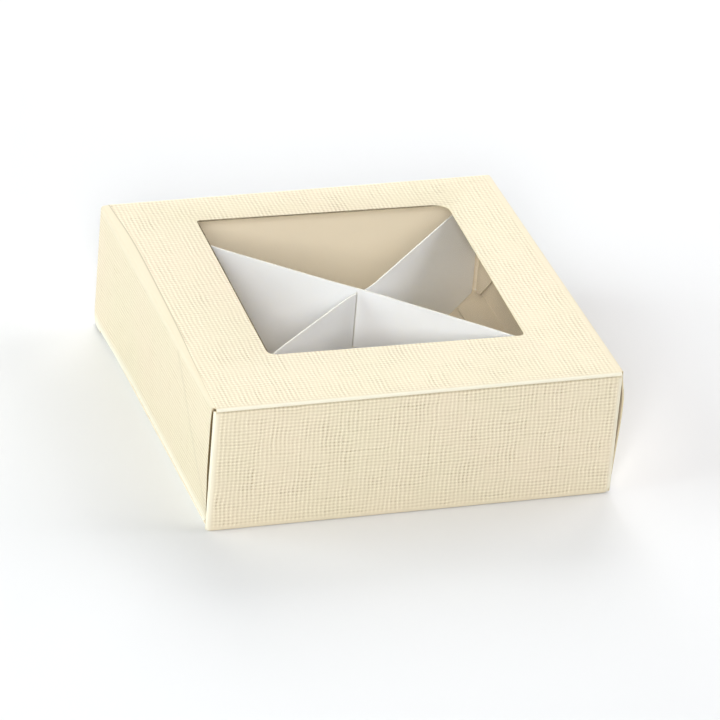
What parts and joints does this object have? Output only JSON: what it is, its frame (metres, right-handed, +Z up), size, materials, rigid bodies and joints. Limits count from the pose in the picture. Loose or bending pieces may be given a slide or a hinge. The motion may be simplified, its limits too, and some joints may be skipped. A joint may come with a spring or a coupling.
{
  "type": "divided folding carton with window",
  "caption": "Low square tuck-end card carton with a clear film window in its top and a crossed card divider that makes triangular compartments.",
  "frame": {"origin": "on the table, under the middle of the closed box", "axes": "+Z up; the front wall faces -Y; the closures are at -X and +X"},
  "size_m": [0.12, 0.12, 0.0395],
  "materials": {
    "ivory_card": "ivory, linen embossed, matt",
    "plain_card": "uncoated inner side, plain and matt",
    "white_card": "smooth white, matt",
    "clear_film": "clear, glossy"
  },
  "bodies": {
    "sleeve": {"top_panel": "ivory_card", "front_wall": "ivory_card", "back_wall": "ivory_card", "bottom_panel": "ivory_card", "glue_flap": "plain_card", "window_film": "clear_film", "divider_strip_upper": "white_card", "divider_strip_lower": "white_card"},
    "left_end": {"left_closure": "ivory_card"},
    "left_tuck": {"left_tongue": "ivory_card"},
    "right_end": {"right_closure": "ivory_card"},
    "right_tuck": {"right_tongue": "ivory_card"},
    "front_left_flap": {"front_left_dust_flap": "plain_card"},
    "back_left_flap": {"back_left_dust_flap": "plain_card"},
    "front_right_flap": {"front_right_dust_flap": "plain_card"},
    "back_right_flap": {"back_right_dust_flap": "plain_card"}
  },
  "joints": [
    {"name": "left_closure_hinge", "type": "hinge", "parent": "sleeve", "child": "left_end", "pos_m": [-0.06, 0, 0.0395], "axis": [0, 1, 0], "range_deg": [0, 90]},
    {"name": "left_tongue_fold", "type": "hinge", "parent": "left_end", "child": "left_tuck", "pos_m": [-0.06, 0, 0.0008], "axis": [0, 1, 0], "range_deg": [0, 45]},
    {"name": "right_closure_hinge", "type": "hinge", "parent": "sleeve", "child": "right_end", "pos_m": [0.06, 0, 0.0395], "axis": [0, -1, 0], "range_deg": [0, 90]},
    {"name": "right_tongue_fold", "type": "hinge", "parent": "right_end", "child": "right_tuck", "pos_m": [0.06, 0, 0.0008], "axis": [0, -1, 0], "range_deg": [0, 45]},
    {"name": "front_left_dust_flap_hinge", "type": "hinge", "parent": "sleeve", "child": "front_left_flap", "pos_m": [-0.05895, -0.0592, 0], "axis": [0, 0, -1], "range_deg": [0, 30]},
    {"name": "back_left_dust_flap_hinge", "type": "hinge", "parent": "sleeve", "child": "back_left_flap", "pos_m": [-0.05895, 0.0592, 0], "axis": [0, 0, 1], "range_deg": [0, 30]},
    {"name": "front_right_dust_flap_hinge", "type": "hinge", "parent": "sleeve", "child": "front_right_flap", "pos_m": [0.05895, -0.0592, 0], "axis": [0, 0, 1], "range_deg": [0, 30]},
    {"name": "back_right_dust_flap_hinge", "type": "hinge", "parent": "sleeve", "child": "back_right_flap", "pos_m": [0.05895, 0.0592, 0], "axis": [0, 0, -1], "range_deg": [0, 30]}
  ],
  "couplings": [
    {"joint": "left_tongue_fold", "follows": "left_closure_hinge", "ratio": 0.5},
    {"joint": "right_tongue_fold", "follows": "right_closure_hinge", "ratio": 0.5}
  ]
}
